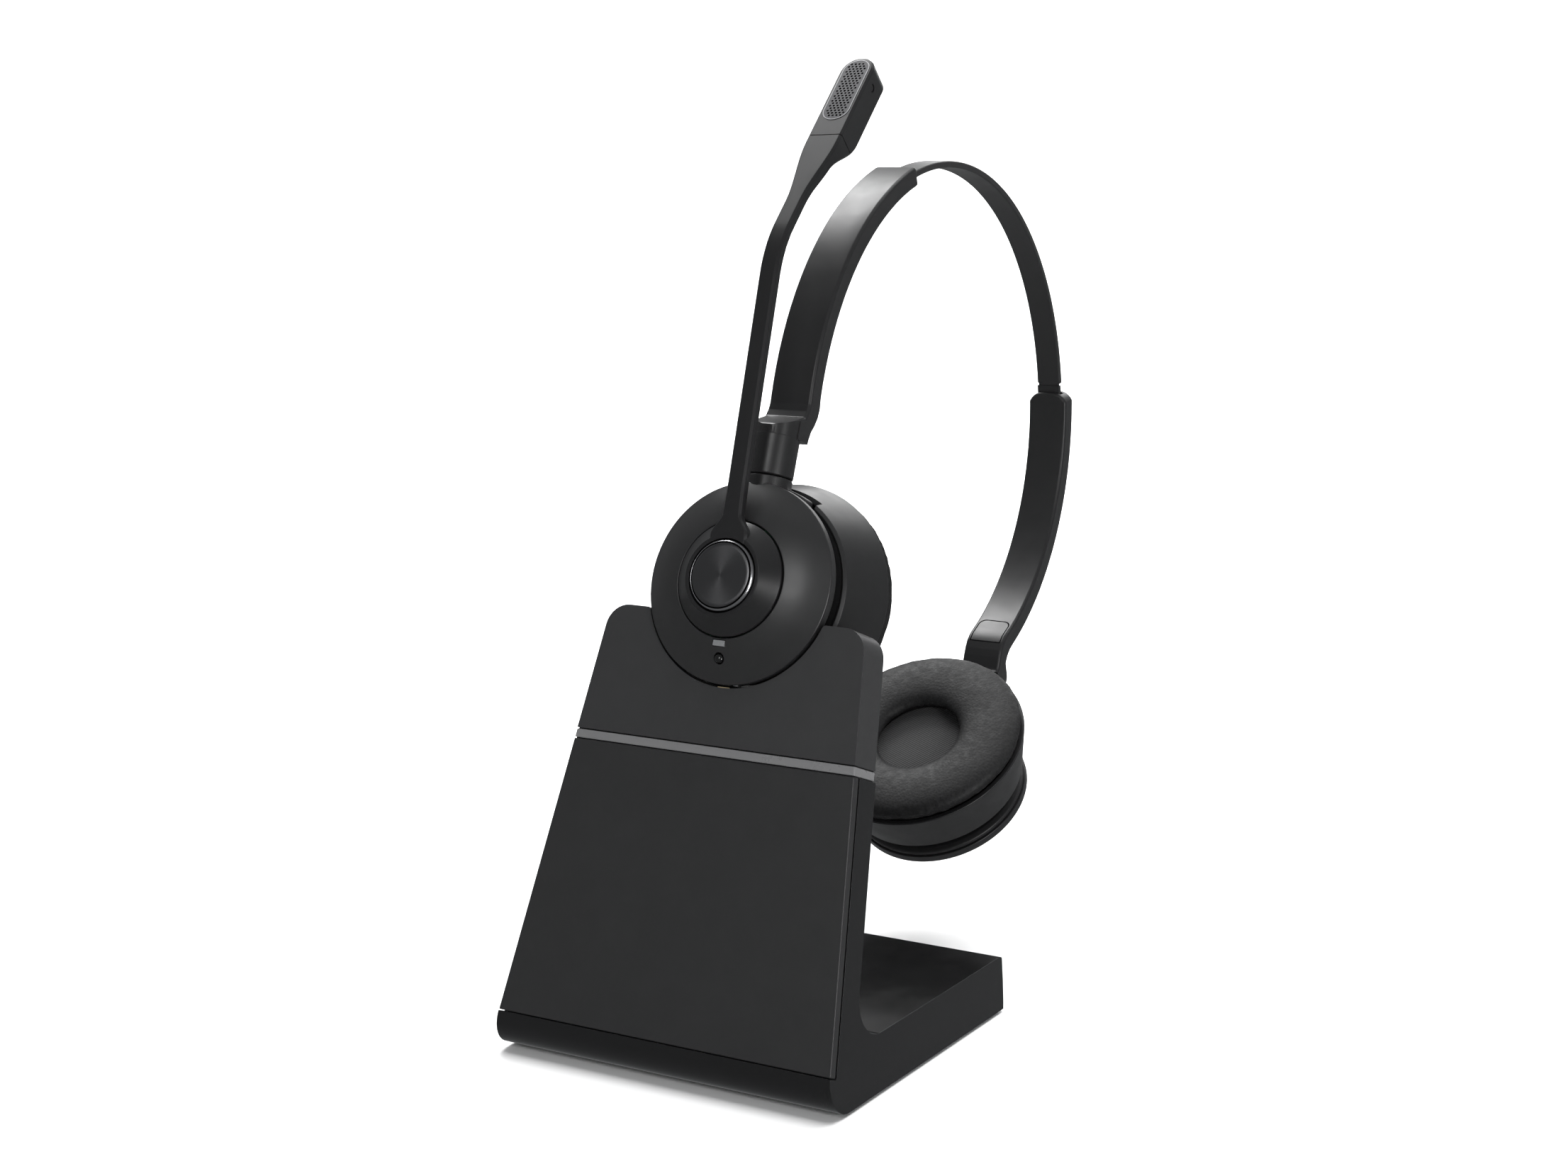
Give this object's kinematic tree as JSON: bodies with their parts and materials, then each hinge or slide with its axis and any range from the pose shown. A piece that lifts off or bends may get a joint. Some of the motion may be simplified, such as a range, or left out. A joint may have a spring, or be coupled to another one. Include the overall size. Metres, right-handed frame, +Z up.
{
  "type": "office headset",
  "caption": "Two-eared wireless office headset with a boom microphone, docked on a leaning desk charging stand.",
  "frame": {"origin": "on the desk, under the middle of the stand's rubber pad", "axes": "+Z up, +Y from the stand's front panel towards the back, +X to the right of someone facing the panel"},
  "size_m": [0.1024, 0.237, 0.2591],
  "materials": {
    "gloss_black": "polished black moulding",
    "plate_black": "fine satin black plate",
    "satin_black": "satin black moulding",
    "accent": "grey metallic strip",
    "spun_metal": "dark spun metal",
    "leatherette": "fine grained black leatherette",
    "cloth": "dark grey woven speaker cloth",
    "rubber": "matt black rubber",
    "steel": "plain steel",
    "gold": "gold plated contact",
    "board": "green circuit board",
    "cell": "wrapped battery cell",
    "window": "frosted clear lens"
  },
  "bodies": {
    "stand": {"stand_body": "gloss_black", "front_plate": "plate_black", "accent_strip": "accent", "bottom_plate": "gloss_black", "base_screw_1": "steel", "base_screw_2": "steel", "base_screw_3": "steel", "base_screw_4": "steel", "rubber_pad": "rubber", "ballast_weight": "steel", "charging_board": "board", "usb_socket": "steel", "cradle_housing": "plate_black", "contact_block": "satin_black"},
    "pin_wide": {"contact_pin_wide": "gold"},
    "pin_narrow": {"contact_pin_narrow": "gold"},
    "left_cup": {"left_cover": "satin_black", "left_rear_cap": "satin_black", "left_yoke": "satin_black", "left_swivel_screw": "steel", "charge_contact_wide": "gold", "charge_contact_narrow": "gold", "status_window": "window", "headset_board": "board", "button_carrier": "satin_black", "call_switch": "steel", "button_bezel": "spun_metal"},
    "call_button": {"call_button": "spun_metal"},
    "pairing_button": {"pairing_button": "satin_black"},
    "volume_rocker": {"volume_rocker": "satin_black"},
    "boom": {"boom_arm": "satin_black", "mic_housing": "satin_black", "mic_grille": "spun_metal", "mic_capsule": "steel", "rear_mic_capsule": "steel"},
    "left_ear": {"left_ear_shell": "satin_black", "left_baffle": "satin_black", "left_speaker": "steel", "left_speaker_cloth": "cloth", "left_cushion": "leatherette"},
    "left_arm": {"left_arm": "satin_black", "left_arm_cover": "satin_black"},
    "band": {"head_band": "satin_black"},
    "right_arm": {"right_arm": "satin_black", "right_arm_cover": "satin_black"},
    "right_cup": {"right_cover": "satin_black", "right_rear_cap": "satin_black", "right_yoke": "satin_black", "right_swivel_screw": "steel", "right_centre_cap": "satin_black"},
    "right_ear": {"right_ear_shell": "satin_black", "right_baffle": "satin_black", "right_speaker": "steel", "right_speaker_cloth": "cloth", "right_cushion": "leatherette", "battery": "cell"}
  },
  "joints": [
    {"name": "headset_lift", "type": "slide", "parent": "stand", "child": "left_cup", "axis": [0, 0.3445, 0.9388], "range_m": [0, 0.11]},
    {"name": "pin_wide_press", "type": "slide", "parent": "stand", "child": "pin_wide", "axis": [0, 0.3445, 0.9388], "range_m": [-0.0008, 0], "stiffness_N_per_m": 150},
    {"name": "pin_narrow_press", "type": "slide", "parent": "stand", "child": "pin_narrow", "axis": [0, 0.3445, 0.9388], "range_m": [-0.0008, 0], "stiffness_N_per_m": 150},
    {"name": "call_button_press", "type": "slide", "parent": "left_cup", "child": "call_button", "axis": [0, 0.9388, -0.3445], "range_m": [0, 0.0005], "stiffness_N_per_m": 600},
    {"name": "pairing_button_press", "type": "slide", "parent": "left_cup", "child": "pairing_button", "axis": [0, 0.9388, -0.3445], "range_m": [0, 0.0004], "stiffness_N_per_m": 400},
    {"name": "volume_rock", "type": "hinge", "parent": "left_cup", "child": "volume_rocker", "pos_m": [-0.026, -0.00772, 0.12363], "axis": [0, 0.9388, -0.3445], "range_deg": [-3, 3], "stiffness_Nm_per_rad": 0.02},
    {"name": "boom_turn", "type": "hinge", "parent": "left_cup", "child": "boom", "pos_m": [0, -0.01354, 0.12576], "axis": [0, 0.9388, -0.3445], "range_deg": [-135, 135]},
    {"name": "left_ear_tilt", "type": "hinge", "parent": "left_cup", "child": "left_ear", "pos_m": [0, 0.00017, 0.12074], "axis": [1, 0, 0], "range_deg": [-3, 3]},
    {"name": "left_swivel", "type": "hinge", "parent": "left_cup", "child": "left_arm", "pos_m": [0, 0.00673, 0.14965], "axis": [0, 0.3445, 0.9388], "range_deg": [-15, 15]},
    {"name": "left_slide", "type": "hinge", "parent": "left_arm", "child": "band", "pos_m": [0, 0.10236, 0.14843], "axis": [-1, 0, 0], "range_deg": [0, 15]},
    {"name": "right_slide", "type": "hinge", "parent": "band", "child": "right_arm", "pos_m": [0, 0.10236, 0.14843], "axis": [1, 0, 0], "range_deg": [-5, 14]},
    {"name": "right_swivel", "type": "hinge", "parent": "right_arm", "child": "right_cup", "pos_m": [0, 0.12903, 0.06382], "axis": [0, 0.8002, 0.5997], "range_deg": [-15, 15]},
    {"name": "right_ear_tilt", "type": "hinge", "parent": "right_cup", "child": "right_ear", "pos_m": [0, 0.10323, 0.04923], "axis": [1, 0, 0], "range_deg": [-3, 3]}
  ]
}
